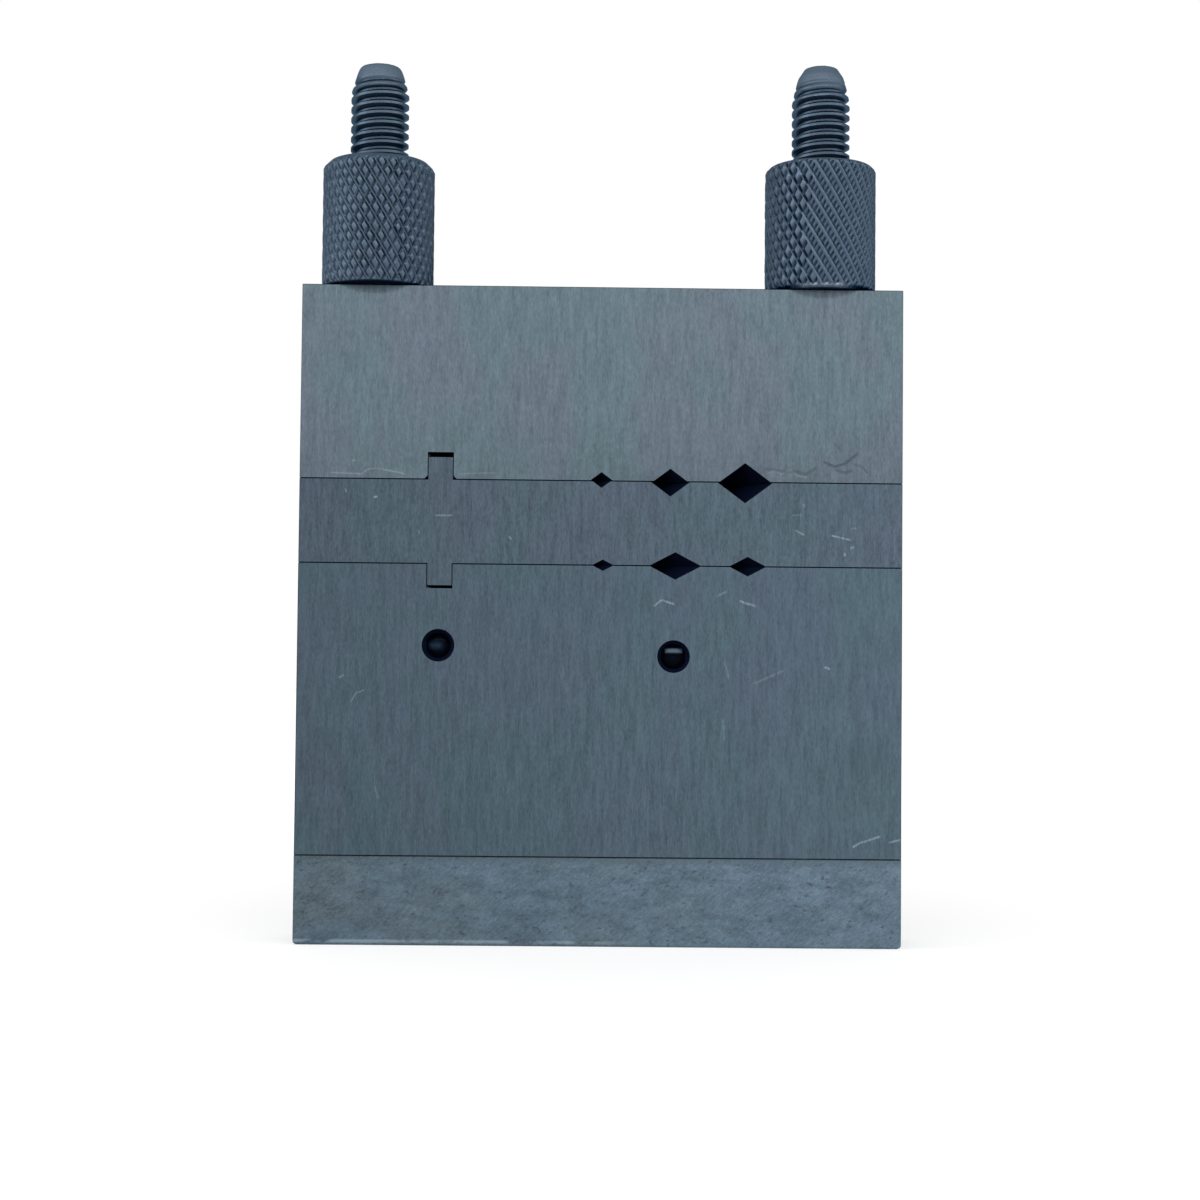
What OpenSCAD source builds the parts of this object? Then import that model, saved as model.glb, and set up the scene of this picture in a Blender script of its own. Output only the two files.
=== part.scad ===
// Miter cutting jig: three steel jaws stacked on a foot and clamped by two knurled nuts.
// Wire or tube lies in the diamond grooves along the seams and is sawn off along the front face.
// The origin is under the middle of the foot. X runs along the front, Y to the back, Z up.

/* [Jaws] */
// Width of the jaws and the foot, along the front
jig_w = 60; // [56:0.5:80]
// Thickness of the jaws and the foot, from front to back
jig_t = 7.8; // [7.4:0.1:10]
// Height of the base jaw
base_h = 28.9; // [26:0.1:45]
// Height of the middle jaw
middle_h = 8.4; // [6:0.1:14]
// Height of the top jaw
top_h = 19.4; // [12:0.1:30]
// Width of the flats that break the jaws' sharp edges
edge_break = 0.06; // [0.04:0.01:0.3]

/* [Foot] */
// Height of the foot bar
foot_h = 8.8; // [6:0.1:14]
// Radius of the foot's lower corners, seen from the front
foot_corner_r = 0.45; // [0.2:0.05:2]
// Width of the flats along the foot's lower edges
foot_lower_break = 0.2; // [0.1:0.01:0.4]
// Width of the flats along the foot's upper edges
foot_upper_break = 0.1; // [0.05:0.01:0.4]

/* [Tongues] */
// Place of the tongues along the front
tongue_x = -16; // [-18:0.1:-14]
// Width of each tongue
tongue_w = 2.5; // [1.5:0.1:3.5]
// Height of the upper tongue above the middle jaw
tongue_up = 2.25; // [1:0.05:4]
// Length of the lower tongue below the middle jaw
tongue_down = 2.2; // [1:0.05:4]
// Gap on each side of a tongue
tongue_side_gap = 0.05; // [0.03:0.01:0.15]
// Gap above the upper tongue
tongue_upper_gap = 0.45; // [0.2:0.05:1]
// Gap below the lower tongue
tongue_lower_gap = 0.25; // [0.2:0.05:1]
// Lead-in flats at the mouth of the top jaw's slot
slot_lead = 0.35; // [0.15:0.05:0.6]

/* [Grooves] */
// Angle between the two flanks of a groove
groove_v = 87; // [80:1:90]

/* [Grooves at 45 degrees] */
// Angle of the upper row of grooves from square to the front
upper_angle = 45; // [30:1:50]
// Place of the small groove on the front
upper_small_x = 0; // [-2:0.1:2]
// Depth of the small groove in the top jaw
upper_small_top = 0.88; // [0.4:0.01:1]
// Depth of the small groove in the middle jaw
upper_small_mid = 0.71; // [0.4:0.01:1]
// Place of the medium groove on the front
upper_medium_x = 6.85; // [5.5:0.1:8]
// Depth of the medium groove in the top jaw
upper_medium_top = 1.29; // [0.8:0.01:1.6]
// Depth of the medium groove in the middle jaw
upper_medium_mid = 1.5; // [0.8:0.01:1.6]
// Place of the large groove on the front
upper_large_x = 14.3; // [13:0.1:16]
// Depth of the large groove in the top jaw
upper_large_top = 1.93; // [1.4:0.01:2.4]
// Depth of the large groove in the middle jaw
upper_large_mid = 2.09; // [1.4:0.01:2.4]

/* [Grooves at 60 degrees] */
// Angle of the lower row of grooves from square to the front
lower_angle = 60; // [45:1:61]
// Place of the small groove on the front
lower_small_x = 0.2; // [0:0.1:2]
// Depth of the small groove in each jaw
lower_small_depth = 0.57; // [0.3:0.01:0.7]
// Place of the large groove on the front
lower_large_x = 7.4; // [6:0.1:8]
// Depth of the large groove in each jaw
lower_large_depth = 1.37; // [0.8:0.01:1.5]
// Place of the medium groove on the front
lower_medium_x = 14.6; // [13.5:0.1:16]
// Depth of the medium groove in each jaw
lower_medium_depth = 0.98; // [0.5:0.01:1.3]

/* [Studs] */
// Outer diameter of the studs' thread
stud_d = 5.9; // [5:0.1:6]
// Pitch of the thread
stud_pitch = 1; // [0.8:0.05:1.25]
// Depth of the thread
thread_depth = 0.6; // [0.4:0.01:0.7]
// Length of each stud
stud_len = 66; // [60:0.5:72]
// Distance of the left stud from the left end of the jaws
stud_left_inset = 7.1; // [6:0.1:8]
// Distance of the right stud from the right end of the jaws
stud_right_inset = 7.9; // [6:0.1:9]
// Height of the left stud's tip above the top jaw
stud_left_stand = 23.1; // [21:0.1:26]
// Height of the right stud's tip above the top jaw
stud_right_stand = 23.5; // [21:0.1:26]
// Length of the plain tip
tip_h = 2.4; // [1.5:0.1:3]
// Radius of the flat on the tip
tip_flat_r = 1.45; // [0.8:0.05:1.8]
// Radius of the tip at its shoulder
tip_shoulder_r = 2.2; // [1.9:0.05:2.25]
// Depth of the shoulder below the tip
tip_shoulder_h = 0.8; // [0.5:0.05:1.2]
// Step in from the thread's crest to the plain tip
tip_step = 0.24; // [0.1:0.01:0.25]
// Gap round a stud in the middle and top jaws
stud_jaw_gap = 0.1; // [0.05:0.01:0.1]
// Gap round a stud in the base jaw, where it is screwed in
stud_base_gap = 0.02; // [0.01:0.01:0.05]

/* [Nuts] */
// Diameter over the knurl
nut_d = 11.3; // [10.4:0.1:14]
// Height of a nut
nut_h = 13; // [9:0.1:15]
// Chamfer on the left nut's top
nut_left_chamfer = 0.65; // [0.3:0.05:1]
// Chamfer on the right nut's top
nut_right_chamfer = 0.4; // [0.3:0.05:1]
// Chamfer under each nut
nut_foot_chamfer = 0.4; // [0.3:0.05:0.8]
// Starts of the knurl each way round
knurl_starts = 31; // [20:1:40]
// Height of one diamond of the knurl
knurl_rise = 1.85; // [1.4:0.05:3]
// Depth of the knurl
knurl_depth = 0.28; // [0.15:0.01:0.3]
// Gap round a stud in the nut
nut_bore_gap = 0.05; // [0.03:0.01:0.1]
// Chamfer at both ends of the nut's bore
nut_bore_lead = 0.4; // [0.2:0.05:0.6]

/* [Dowels] */
// Diameter of the dowel pins
dowel_d = 2.5; // [2:0.1:3.5]
// Length of the dowel pins
dowel_len = 5.5; // [4:0.1:6]
// Depth of the dowels below the front face
dowel_sink = 0.7; // [0.5:0.1:1]
// Height of the dowels' domed ends
dowel_dome = 0.45; // [0.2:0.05:0.8]
// Chamfer round the dowel holes
dowel_chamfer = 0.37; // [0.2:0.01:0.5]
// Place of the left dowel along the front
dowel_left_x = -16.05; // [-18:0.05:-14]
// Depth of the left dowel below the base jaw's upper face
dowel_left_drop = 8.1; // [6:0.1:12]
// Place of the right dowel along the front
dowel_right_x = 7.3; // [5:0.05:12]
// Depth of the right dowel below the base jaw's upper face
dowel_right_drop = 9; // [6:0.1:12]
// Gap round a dowel in its hole
dowel_gap = 0.01; // [0.01:0.01:0.03]

/* [Foot screws] */
// Place of each foot screw from the middle
foot_screw_x = 14; // [10:0.5:18]
// Diameter of the foot screws
foot_screw_d = 3; // [2:0.5:3]
// Length of the foot screws under the head
foot_screw_len = 12; // [10:0.5:16]
// Diameter of the screw heads
foot_head_d = 5.5; // [4.5:0.1:5.6]
// Height of the screw heads
foot_head_h = 3; // [2:0.1:3.5]
// Width of the hexagon socket across its flats
foot_key = 2.5; // [1.5:0.1:2.8]
// Depth of the hexagon socket
foot_key_depth = 1.5; // [1:0.1:1.8]
// Depth of the screw heads inside the foot
foot_head_sink = 0.4; // [0.2:0.1:0.8]
// Gap round the screws and their heads in the foot
foot_screw_gap = 0.1; // [0.05:0.05:0.3]
// Gap round the screws in the base jaw, where they are screwed in
foot_thread_gap = 0.02; // [0.01:0.01:0.05]
// Space past the ends of the screws
foot_screw_end_gap = 0.5; // [0.2:0.1:1]

/* [Hidden] */
$fn = 96;
// A cut runs this far past the face that it opens
past = 1;
// Heights of the faces between the pieces, from the surface that the foot stands on
base_z = foot_h;
middle_z = base_z + base_h;
top_z = middle_z + middle_h;
nut_z = top_z + top_h;
front_y = -jig_t / 2;
stud_left_x = stud_left_inset - jig_w / 2;
stud_right_x = jig_w / 2 - stud_right_inset;
stud_r = stud_d / 2;
root_r = stud_r - thread_depth;
// Shares of one pitch: the root's flat, one flank and the crest's flat
root_flat = stud_pitch / 4;
flank = stud_pitch * 5 / 16;
crest_flat = stud_pitch / 8;
// Chamfer at the lower end of a thread
thread_lead = thread_depth;
head_seat_z = foot_head_sink + foot_head_h;

// Outline of a rectangle with broken corners
module broken_rect(w, h, b) {
    polygon([[b - w / 2, -h / 2], [w / 2 - b, -h / 2], [w / 2, b - h / 2], [w / 2, h / 2 - b],
             [w / 2 - b, h / 2], [b - w / 2, h / 2], [-w / 2, h / 2 - b], [-w / 2, b - h / 2]]);
}

// Block with every edge broken, centred on Z and standing on z = 0
module broken_block(w, t, h, b) {
    intersection() {
        linear_extrude(h)
            broken_rect(w, t, b);
        translate([0, t / 2, h / 2])
            rotate([90, 0, 0])
                linear_extrude(t)
                    broken_rect(w, h, b);
        translate([-w / 2, 0, h / 2])
            rotate([90, 0, 90])
                linear_extrude(w)
                    broken_rect(t, h, b);
    }
}

// Diamond bar whose middle is at x on the front face, and which runs back towards -X
module groove_cut(x, angle, depth) {
    half_w = depth * tan(groove_v / 2);
    reach = 2 * (jig_t / cos(angle) + half_w * tan(angle) + past);
    translate([x, front_y, 0])
        rotate([0, 0, angle])
            rotate([90, 0, 0])
                linear_extrude(reach, center = true)
                    polygon([[-half_w, 0], [0, -depth], [half_w, 0], [0, depth]]);
}

// The upper row of grooves, with its three depths, on the seam between the top and middle jaws
module upper_row(small, medium, large) {
    translate([0, 0, top_z]) {
        groove_cut(upper_small_x, upper_angle, small);
        groove_cut(upper_medium_x, upper_angle, medium);
        groove_cut(upper_large_x, upper_angle, large);
    }
}

// The lower row of grooves, on the seam between the middle and base jaws
module lower_row() {
    translate([0, 0, middle_z]) {
        groove_cut(lower_small_x, lower_angle, lower_small_depth);
        groove_cut(lower_large_x, lower_angle, lower_large_depth);
        groove_cut(lower_medium_x, lower_angle, lower_medium_depth);
    }
}

// Both studs' holes through a jaw of height h that stands at z
module stud_clearance(z, h) {
    for (x = [stud_left_x, stud_right_x])
        translate([x, 0, z - past])
            cylinder(h = h + 2 * past, r = stud_r + stud_jaw_gap);
}

// Blind hole for a stud in the base jaw, with a lead at its mouth
module stud_socket(x, stand) {
    bottom_z = nut_z + stand - stud_len;
    hole_r = stud_r + stud_base_gap;
    translate([x, 0, bottom_z])
        cylinder(h = middle_z - bottom_z + past, r = hole_r);
    translate([x, 0, middle_z - edge_break])
        cylinder(h = edge_break + past, r1 = hole_r, r2 = hole_r + edge_break + past);
}

// Hole for a dowel, which opens on the front face with a chamfer
module dowel_hole(x, drop) {
    translate([x, front_y, middle_z - drop])
        rotate([-90, 0, 0]) {
            translate([0, 0, -past])
                cylinder(h = past + dowel_sink + dowel_len, r = dowel_d / 2 + dowel_gap);
            translate([0, 0, -past])
                cylinder(h = past + dowel_chamfer, r1 = dowel_d / 2 + dowel_chamfer + past, r2 = dowel_d / 2);
        }
}

module base_jaw() {
    color([0.31, 0.38, 0.43])
        difference() {
            translate([0, 0, base_z])
                broken_block(jig_w, jig_t, base_h, edge_break);
            lower_row();
            translate([tongue_x - tongue_w / 2 - tongue_side_gap, front_y - past,
                       middle_z - tongue_down - tongue_lower_gap])
                cube([tongue_w + 2 * tongue_side_gap, jig_t + 2 * past, tongue_down + tongue_lower_gap + past]);
            stud_socket(stud_left_x, stud_left_stand);
            stud_socket(stud_right_x, stud_right_stand);
            dowel_hole(dowel_left_x, dowel_left_drop);
            dowel_hole(dowel_right_x, dowel_right_drop);
            for (x = [-foot_screw_x, foot_screw_x])
                translate([x, 0, base_z - past])
                    cylinder(h = past + head_seat_z + foot_screw_len - foot_h + foot_screw_end_gap,
                             r = foot_screw_d / 2 + foot_thread_gap);
        }
}

// Outline of the foot from the front, round at the lower corners
module foot_outline() {
    translate([foot_corner_r - jig_w / 2, 0])
        square([jig_w - 2 * foot_corner_r, foot_h]);
    translate([-jig_w / 2, foot_corner_r])
        square([jig_w, foot_h - foot_corner_r]);
    for (side = [-1, 1])
        translate([side * (jig_w / 2 - foot_corner_r), foot_corner_r])
            circle(r = foot_corner_r);
}

// Section of the foot from the side, with its four long edges broken
module foot_section() {
    half = jig_t / 2;
    polygon([[foot_lower_break - half, 0], [half - foot_lower_break, 0], [half, foot_lower_break],
             [half, foot_h - foot_upper_break], [half - foot_upper_break, foot_h],
             [foot_upper_break - half, foot_h], [-half, foot_h - foot_upper_break], [-half, foot_lower_break]]);
}

module foot_bar() {
    color([0.36, 0.43, 0.48])
        difference() {
            intersection() {
                translate([0, jig_t / 2, 0])
                    rotate([90, 0, 0])
                        linear_extrude(jig_t)
                            foot_outline();
                translate([-jig_w / 2, 0, 0])
                    rotate([90, 0, 90])
                        linear_extrude(jig_w)
                            foot_section();
            }
            for (x = [-foot_screw_x, foot_screw_x])
                translate([x, 0, 0]) {
                    translate([0, 0, -past])
                        cylinder(h = foot_h + 2 * past, r = foot_screw_d / 2 + foot_screw_gap);
                    translate([0, 0, -past])
                        cylinder(h = past + head_seat_z, r = foot_head_d / 2 + foot_screw_gap);
                }
        }
}

// Socket screw, head down, whose head seats on the step inside the foot
module foot_screw(x) {
    color([0.2, 0.22, 0.25])
        translate([x, 0, foot_head_sink])
            difference() {
                union() {
                    cylinder(h = foot_head_h, r = foot_head_d / 2);
                    cylinder(h = foot_head_h + foot_screw_len, r = foot_screw_d / 2);
                }
                translate([0, 0, -past])
                    cylinder(h = past + foot_key_depth, r = foot_key / 2 / cos(30), $fn = 6);
            }
}

module foot_screw_left() {
    foot_screw(-foot_screw_x);
}

module foot_screw_right() {
    foot_screw(foot_screw_x);
}

module middle_jaw() {
    color([0.33, 0.38, 0.42])
        difference() {
            union() {
                translate([0, 0, middle_z])
                    broken_block(jig_w, jig_t, middle_h, edge_break);
                translate([tongue_x, 0, middle_z - tongue_down])
                    broken_block(tongue_w, jig_t, tongue_down + middle_h + tongue_up, edge_break);
            }
            upper_row(upper_small_mid, upper_medium_mid, upper_large_mid);
            lower_row();
            stud_clearance(middle_z, middle_h);
        }
}

// Slot for the upper tongue, wider at its mouth
module top_slot() {
    half = tongue_w / 2 + tongue_side_gap;
    slot_top = tongue_up + tongue_upper_gap;
    translate([tongue_x, jig_t / 2 + past, top_z])
        rotate([90, 0, 0])
            linear_extrude(jig_t + 2 * past)
                polygon([[-half - slot_lead - past, -past], [half + slot_lead + past, -past],
                         [half, slot_lead], [half, slot_top], [-half, slot_top], [-half, slot_lead]]);
}

module top_jaw() {
    color([0.41, 0.46, 0.51])
        difference() {
            translate([0, 0, top_z])
                broken_block(jig_w, jig_t, top_h, edge_break);
            top_slot();
            upper_row(upper_small_top, upper_medium_top, upper_large_top);
            stud_clearance(top_z, top_h);
        }
}

// Points up one side of a thread of n turns that starts at z
function thread_side(z, n) = [for (i = [0 : n - 1], p = [[root_r, 0], [root_r, root_flat],
    [stud_r, root_flat + flank], [stud_r, root_flat + flank + crest_flat]]) [p[0], z + i * stud_pitch + p[1]]];

// Stud threaded for its whole length, with a lead at its lower end and a plain tip
module stud(x, stand) {
    turns = floor((stud_len - tip_h - thread_lead) / stud_pitch);
    thread_top = thread_lead + turns * stud_pitch;
    color([0.2, 0.25, 0.32])
        translate([x, 0, nut_z + stand - stud_len])
            rotate_extrude()
                polygon(concat([[0, 0], [root_r - edge_break, 0]], thread_side(thread_lead, turns),
                               [[root_r, thread_top], [stud_r - tip_step, stud_len - tip_h],
                                [tip_shoulder_r, stud_len - tip_shoulder_h],
                                [tip_flat_r, stud_len], [0, stud_len]]));
}

module stud_left() {
    stud(stud_left_x, stud_left_stand);
}

module stud_right() {
    stud(stud_right_x, stud_right_stand);
}

// Band of diamond points from z1 to z2, where peaks and hollows alternate round and up the nut
module knurl_band(z1, z2) {
    columns = 2 * round(knurl_starts);
    rows = max(2, round(2 * (z2 - z1) / knurl_rise));
    function is_peak(i, j) = (i + j) % 2 == 0 && j > 0 && j < rows;
    function at(i, j) = j * columns + i % columns;
    points = [for (j = [0 : rows], i = [0 : columns - 1])
        let (r = nut_d / 2 - (is_peak(i, j) ? 0 : knurl_depth), a = 360 * i / columns)
        [r * cos(a), r * sin(a), z1 + (z2 - z1) * j / rows]];
    sides = [for (j = [0 : rows - 1], i = [0 : columns - 1], half = [0, 1])
        (i + j) % 2 == 0
            ? (half == 0 ? [at(i, j), at(i, j + 1), at(i + 1, j)] : [at(i + 1, j), at(i, j + 1), at(i + 1, j + 1)])
            : (half == 0 ? [at(i, j), at(i, j + 1), at(i + 1, j + 1)] : [at(i, j), at(i + 1, j + 1), at(i + 1, j)])];
    ends = [[for (i = [0 : columns - 1]) at(i, 0)],
            [for (i = [columns - 1 : -1 : 0]) at(i, rows)]];
    polyhedron(points = points, faces = concat(ends, sides));
}

// Knurled nut that stands on the top jaw: smooth ends, a knurled band and a bore for the stud
module knurled_nut(x, top_chamfer) {
    rim_r = nut_d / 2;
    core_r = rim_r - knurl_depth - edge_break;
    bore_r = stud_r + nut_bore_gap;
    color([0.26, 0.32, 0.38])
        translate([x, 0, nut_z])
            difference() {
                union() {
                    rotate_extrude()
                        polygon([[0, 0], [rim_r - nut_foot_chamfer, 0], [rim_r, nut_foot_chamfer],
                                 [core_r, nut_foot_chamfer], [core_r, nut_h - top_chamfer],
                                 [rim_r, nut_h - top_chamfer], [rim_r - top_chamfer, nut_h], [0, nut_h]]);
                    knurl_band(nut_foot_chamfer, nut_h - top_chamfer);
                }
                translate([0, 0, -past])
                    cylinder(h = nut_h + 2 * past, r = bore_r);
                translate([0, 0, -past])
                    cylinder(h = past + nut_bore_lead, r1 = bore_r + nut_bore_lead + past, r2 = bore_r);
                translate([0, 0, nut_h - nut_bore_lead])
                    cylinder(h = past + nut_bore_lead, r1 = bore_r, r2 = bore_r + nut_bore_lead + past);
            }
}

module nut_left() {
    knurled_nut(stud_left_x, nut_left_chamfer);
}

module nut_right() {
    knurled_nut(stud_right_x, nut_right_chamfer);
}

// Pin with a domed front end, pressed in from the front and seated on the bottom of its hole
module dowel(x, drop) {
    r = dowel_d / 2;
    dome_r = (r * r + dowel_dome * dowel_dome) / (2 * dowel_dome);
    color([0.08, 0.09, 0.11])
        translate([x, front_y + dowel_sink, middle_z - drop])
            rotate([-90, 0, 0])
                union() {
                    translate([0, 0, dowel_dome])
                        cylinder(h = dowel_len - dowel_dome, r = r);
                    intersection() {
                        cylinder(h = dowel_dome, r = r);
                        translate([0, 0, dome_r])
                            sphere(r = dome_r);
                    }
                }
}

module dowel_left() {
    dowel(dowel_left_x, dowel_left_drop);
}

module dowel_right() {
    dowel(dowel_right_x, dowel_right_drop);
}

base_jaw();
foot_bar();
foot_screw_left();
foot_screw_right();
middle_jaw();
top_jaw();
stud_left();
stud_right();
nut_left();
nut_right();
dowel_left();
dowel_right();
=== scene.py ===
import math

import bmesh
import bpy
from mathutils import Matrix, Vector


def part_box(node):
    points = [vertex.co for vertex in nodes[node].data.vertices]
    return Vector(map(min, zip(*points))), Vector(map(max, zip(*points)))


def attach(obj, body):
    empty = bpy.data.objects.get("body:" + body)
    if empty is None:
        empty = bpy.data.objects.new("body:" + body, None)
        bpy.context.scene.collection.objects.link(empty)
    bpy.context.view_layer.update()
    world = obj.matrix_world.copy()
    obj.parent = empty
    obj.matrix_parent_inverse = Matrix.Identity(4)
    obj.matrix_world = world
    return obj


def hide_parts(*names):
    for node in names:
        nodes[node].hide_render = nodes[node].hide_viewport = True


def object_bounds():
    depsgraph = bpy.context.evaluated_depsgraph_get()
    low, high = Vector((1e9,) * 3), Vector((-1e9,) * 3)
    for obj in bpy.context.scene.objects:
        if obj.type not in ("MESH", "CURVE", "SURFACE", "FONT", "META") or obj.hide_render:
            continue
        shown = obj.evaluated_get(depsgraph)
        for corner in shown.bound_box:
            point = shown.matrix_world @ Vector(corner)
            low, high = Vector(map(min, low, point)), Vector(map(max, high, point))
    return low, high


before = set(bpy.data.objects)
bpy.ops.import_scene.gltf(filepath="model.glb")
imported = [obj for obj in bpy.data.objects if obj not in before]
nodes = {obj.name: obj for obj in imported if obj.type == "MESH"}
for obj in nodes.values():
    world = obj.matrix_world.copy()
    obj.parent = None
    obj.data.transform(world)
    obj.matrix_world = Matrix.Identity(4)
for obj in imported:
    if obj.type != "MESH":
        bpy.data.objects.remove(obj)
cad_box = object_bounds()
MM = 0.001

# Camera, fitted to the edges of the object in the photograph
LENS = 58.6
SENSOR = 36
CAMERA_AT = Vector((-2.18, -197.58, 27.0)) * MM
CAMERA_UP = math.radians(2.141)
CAMERA_RIGHT = math.radians(0.632)
CAMERA_ROLL = math.radians(0.549)

# Half the width of the jig, and its front face
JIG_HALF = (cad_box[1][0] - cad_box[0][0]) / 2
FRONT_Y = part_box("base_jaw")[0].y

# Shares of red, green and blue in the green and violet patches, the violet ones of the nuts and studs, and
# the brown ones of the foot
GREEN_SHARE = (0.95, 1.03, 0.99)
VIOLET_SHARE = (1.02, 0.98, 1.01)
NUT_VIOLET_SHARE = (1.02, 0.93, 1.1)
BROWN_SHARE = (1.02, 0.9, 0.76)
# Colours of the blocks, as linear red, green and blue
TOP_COLOUR = (0.111, 0.145, 0.174)
MIDDLE_COLOUR = (0.074, 0.101, 0.130)
BASE_COLOUR = (0.073, 0.105, 0.134)
FOOT_COLOUR = (0.104, 0.15, 0.192)
# How much darker each block is painted at its left end, and lighter at its right end: painted shading for
# light that is stronger on the right
TOP_SIDE_SHADING = 0.03
MIDDLE_SIDE_SHADING = 0.12
BASE_SIDE_SHADING = 0.13
FOOT_SIDE_SHADING = 0.13
# How far the grinding lines and the mill finish vary from their mean tone
TOP_CONTRAST = 0.4
MIDDLE_CONTRAST = 0.44
BASE_CONTRAST = 0.36
MILL_CONTRAST = 0.54
# How much painted shade the upright broken edges get, from 0 to 1
JAW_UPRIGHT_SHADE = 0.45
BASE_UPRIGHT_SHADE = 1.0
# Further shift in mm of the noises from one jaw to the next, so that their patterns differ
NOISE_SHIFT = 20.0
# Colours of the painted shade in cuts, edges and slot ends, from dark to light, of pale scratches and of the
# painted highlight along the foot's lower edge, and of the nuts and studs where they are bare and where they
# are dark. Last those of the painted shadow under and round a nut's foot and of the painted highlight on a
# nut's foot
CUT_SHADE_DARK = (0.001, 0.002, 0.01)
CUT_SHADE_LIGHT = (0.005, 0.009, 0.022)
SCRATCH_AND_SHEEN_COLOUR = (0.26, 0.33, 0.38, 1.0)
NUT_LIGHT = (0.095, 0.129, 0.167)
NUT_DARK = (0.012, 0.03, 0.06)
STUD_LIGHT = (0.11, 0.149, 0.194)
STUD_DARK = (0.04, 0.063, 0.092)
PAINTED_SHADOW_COLOUR = (0.001, 0.001, 0.004)
PAINTED_SHEEN_COLOUR = (0.45, 0.53, 0.6)
# Colours of the pins, of the painted highlights on them (bright bars for a lamp's reflection), and of the
# hidden screws
LEFT_PIN_COLOUR = (0.002, 0.003, 0.008)
RIGHT_PIN_COLOUR = (0.002, 0.003, 0.006)
LEFT_PIN_HIGHLIGHT = (0.02, 0.042, 0.075)
RIGHT_PIN_HIGHLIGHT = (0.12, 0.17, 0.24)
SCREW_COLOUR = (0.02, 0.022, 0.025)
# Roughness of the pins, and how much they mirror, where 0.5 is usual
PIN_ROUGH = 0.12
PIN_SPECULAR = 0.02
# Tints of what is mirrored: at flat angles by dark steel, and at all angles by black steel
DARK_EDGE_TINT = (0.4, 0.47, 0.55, 1.0)
BLACK_EDGE_TINT = (0.5, 0.75, 1.0, 1.0)
# Noises. Each has its grains per millimetre along X, Y and Z, its detail, its roughness, and the shift in mm
# that picks its own part of the noise. On ground faces: lines, fine lines, clouds and smudges
GROUND_LINES = ((2.7, 2.7, 0.4), 3.0, 0.6, 0.0)
GROUND_FINE = ((6.5, 6.5, 1.9), 3.0, 0.65, 3.0)
GROUND_CLOUDS = ((0.12, 0.12, 0.08), 3.0, 0.5, 7.0)
GROUND_SOIL = ((0.4, 0.4, 0.8), 3.0, 0.6, 11.0)
# On the unground foot: large and fine mottling, slanting strokes, pits and brown patches
FOOT_MOTTLE = ((0.4, 0.4, 0.9), 4.0, 0.6, 0.0)
FOOT_FINE = ((5.0, 5.0, 6.0), 3.0, 0.65, 2.0)
FOOT_STROKES = ((6.5, 6.5, 1.6), 2.0, 0.6, 4.0)
FOOT_PITS = ((1.6, 1.6, 2.4), 4.0, 0.65, 5.0)
FOOT_BROWN = ((0.1, 0.1, 0.22), 2.0, 0.5, 9.0)
# On nuts and studs: fine grain, clouds and wear. On pins and screws, and on the floor: fine grain
DARK_FINE = ((6.0, 6.0, 6.0), 3.0, 0.6, 0.0)
DARK_CLOUDS = ((0.5, 0.5, 0.5), 2.0, 0.5, 4.0)
DARK_WORN = ((1.1, 1.1, 1.1), 3.0, 0.6, 8.0)
BLACK_FINE = ((5.0, 5.0, 5.0), 3.0, 0.6, 0.0)
FLOOR_FIBRE = ((1.5, 1.5, 1.5), 3.0, 0.6, 0.0)
# How far the foot's strokes lean, in degrees
STROKES_LEAN = 50.0
# Height of the painted highlight along the foot's lower edge, for the floor's reflection in its broken edge
EDGE_SHEEN_Z = 0.42 * MM
# How far behind the front face the marks of scratches reach
SCRATCH_DEPTH = 0.5 * MM
# Scratches on the front faces: the points along each as x and z in mm, its width in mm, and its strength,
# which is below 0 for a dark one
TOP_SCRATCHES = [
    ([(-26.9, 46.65), (-23.8, 46.55), (-23.3, 47.0), (-22.4, 47.15), (-19.5, 46.6)], 0.22, 0.4),
    ([(-24.8, 47.9), (-24.5, 47.85)], 0.25, 0.5),
    ([(-14.2, 46.65), (-10.5, 46.8)], 0.22, 0.25),
    ([(22.1, 48.25), (23.2, 47.75), (24.3, 48.1), (25.5, 49.1)], 0.36, -0.7),
    ([(25.2, 48.0), (26.0, 47.75), (26.5, 47.15)], 0.32, -0.5),
    ([(23.2, 47.5), (24.2, 47.15), (25.0, 47.4)], 0.4, -0.5),
    ([(16.5, 47.0), (17.2, 47.3), (17.9, 46.95), (18.8, 47.4), (19.5, 46.8), (20.5, 46.65)], 0.3, 0.3),
    ([(16.3, 47.5), (18.2, 47.2), (19.4, 47.25), (20.3, 46.95), (21.4, 47.65)], 0.45, -0.45),
    ([(23.2, 50.1), (23.7, 49.5)], 0.35, -0.4)]
MIDDLE_SCRATCHES = [
    ([(-16.5, 42.5), (-14.8, 42.5)], 0.25, 0.45),
    ([(22.9, 40.9), (24.8, 40.45)], 0.24, 0.7),
    ([(24.9, 41.6), (25.4, 41.65)], 0.24, 0.4),
    ([(24.8, 39.65), (25.2, 39.75)], 0.28, 0.6),
    ([(24.25, 39.2), (24.3, 38.85)], 0.24, 0.8),
    ([(19.3, 41.4), (20.2, 40.9)], 0.24, 0.5),
    ([(19.05, 42.85), (19.9, 42.95)], 0.2, 0.3),
    ([(20.1, 44.0), (20.2, 43.65)], 0.2, 0.5),
    ([(-25.45, 45.1), (-25.3, 44.7)], 0.22, 0.4),
    ([(-22.6, 44.25), (-22.2, 44.3)], 0.28, 0.6),
    ([(-18.1, 41.0), (-18.0, 40.55)], 0.2, 0.4),
    ([(-9.15, 40.5), (-8.9, 40.2)], 0.24, 0.5)]
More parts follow.
